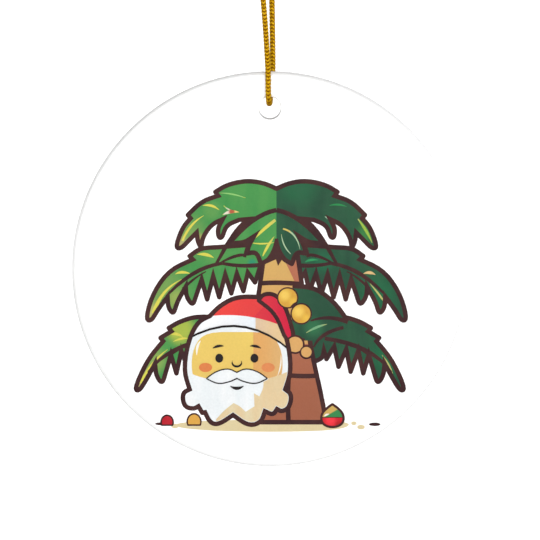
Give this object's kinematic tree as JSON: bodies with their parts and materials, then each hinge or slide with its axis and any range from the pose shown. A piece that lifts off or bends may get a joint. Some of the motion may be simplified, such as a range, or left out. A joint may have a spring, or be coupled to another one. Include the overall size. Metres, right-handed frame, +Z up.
{
  "type": "souvenir christmas ornament",
  "caption": "Flat round glossy ceramic hanging ornament, printed with a palm tree and a bearded figure in a red cap, on a knotted loop of gold braided cord",
  "frame": {"origin": "inside top of the cord loop, where a hook or a twig carries it", "axes": "+Z up, the printed face looks along -Y, +X to the right seen from the front"},
  "size_m": [0.072, 0.0052, 0.1278],
  "materials": {
    "ceramic": "glossy white glaze on the rim and in the hole",
    "coat": "smooth glossy print coat",
    "ink_outline": "printed ink film under gloss",
    "ink_frond_light": "printed ink film under gloss",
    "ink_frond_dark": "printed ink film under gloss",
    "ink_frond_streaks": "printed ink film under gloss",
    "ink_trunk_light": "printed ink film under gloss",
    "ink_trunk_shade": "printed ink film under gloss",
    "ink_cap": "printed ink film under gloss",
    "ink_cap_shade": "printed ink film under gloss",
    "ink_fur_band": "printed ink film under gloss",
    "ink_fur_shade": "printed ink film under gloss",
    "ink_face": "printed ink film under gloss",
    "ink_face_shade": "printed ink film under gloss",
    "ink_cheeks": "printed ink film under gloss",
    "ink_face_lines": "printed ink film under gloss",
    "ink_glints": "printed ink film under gloss",
    "ink_beard": "printed ink film under gloss",
    "ink_beard_shade": "printed ink film under gloss",
    "ink_gold_baubles": "printed ink film under gloss",
    "ink_tan_balls": "printed ink film under gloss",
    "ink_red_bauble": "printed ink film under gloss",
    "ink_bauble_top": "printed ink film under gloss",
    "ink_sand": "printed ink film under gloss",
    "metallic_cord": "braided metallic yarn",
    "knot": "tight overhand knot of braided metallic yarn",
    "sealed_tip": "melted and hardened cord end"
  },
  "bodies": {
    "loop_top": {"overhand_knot": "knot", "loop_crown": "metallic_cord", "cord_tail_left": "metallic_cord", "cord_tail_right": "metallic_cord", "sealed_tip_left": "sealed_tip", "sealed_tip_right": "sealed_tip"},
    "cord_runs": {"cord_run_front": "metallic_cord", "cord_run_rear": "metallic_cord"},
    "bight": {"cord_bight": "metallic_cord"},
    "disc": {"ceramic_disc": "ceramic", "gloss_coat_front": "coat", "gloss_coat_back": "coat", "print_outline": "ink_outline", "print_frond_light": "ink_frond_light", "print_frond_dark": "ink_frond_dark", "print_frond_streaks": "ink_frond_streaks", "print_trunk_light": "ink_trunk_light", "print_trunk_shade": "ink_trunk_shade", "print_cap": "ink_cap", "print_cap_shade": "ink_cap_shade", "print_fur_band": "ink_fur_band", "print_fur_shade": "ink_fur_shade", "print_face": "ink_face", "print_face_shade": "ink_face_shade", "print_cheeks": "ink_cheeks", "print_face_lines": "ink_face_lines", "print_glints": "ink_glints", "print_beard": "ink_beard", "print_beard_shade": "ink_beard_shade", "print_gold_baubles": "ink_gold_baubles", "print_tan_balls": "ink_tan_balls", "print_red_bauble": "ink_red_bauble", "print_bauble_top": "ink_bauble_top", "print_sand": "ink_sand"}
  },
  "joints": [
    {"name": "cord_twist", "type": "hinge", "parent": "loop_top", "child": "cord_runs", "pos_m": [0, 0, -0.004], "axis": [-0.0232, 0, 0.9997], "range_deg": [-180, 180], "stiffness_Nm_per_rad": 0.000024, "deforming": ["cord_run_front", "cord_run_rear"]},
    {"name": "cord_bend", "type": "hinge", "parent": "cord_runs", "child": "bight", "pos_m": [0.002, 0, -0.045], "axis": [1, 0, 0], "range_deg": [-30, 30], "deforming": ["cord_run_front", "cord_run_rear"]},
    {"name": "disc_rock", "type": "hinge", "parent": "bight", "child": "disc", "pos_m": [0.002, 0, -0.0559], "axis": [0, 1, 0], "range_deg": [-60, 60]}
  ]
}
